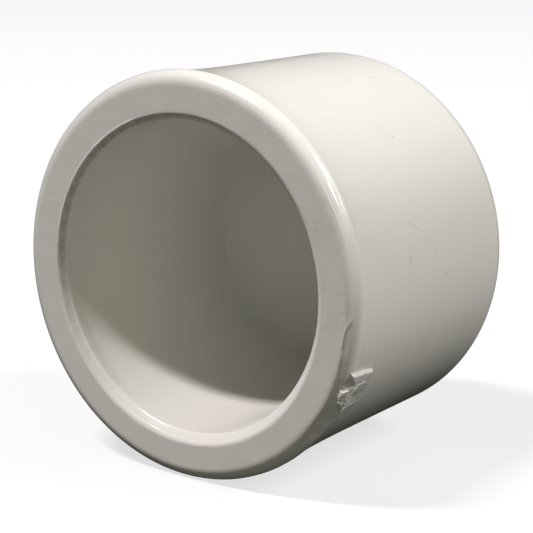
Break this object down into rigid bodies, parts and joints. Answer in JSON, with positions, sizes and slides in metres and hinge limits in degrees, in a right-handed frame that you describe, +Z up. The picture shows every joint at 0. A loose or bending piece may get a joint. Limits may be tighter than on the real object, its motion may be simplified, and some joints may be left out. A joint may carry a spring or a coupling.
{
  "type": "pipe cap",
  "caption": "Short round plastic slip cap: a plain smooth-bored socket closed at one end, with a rounded lip, that is cemented over the end of a pipe.",
  "frame": {"origin": "centre of the socket's floor, the face that the pipe's end stops at", "axes": "the cap lies on its side: +Y along its axis from the open mouth to the closed end, +Z up, +X to the right as seen looking into the mouth"},
  "size_m": [0.0282, 0.0204, 0.0282],
  "materials": {
    "white_pvc": "smooth moulded PVC-U, warm off-white, semi-gloss, with faint handling marks"
  },
  "bodies": {
    "root": {"cap_body": "white_pvc"}
  },
  "joints": []
}
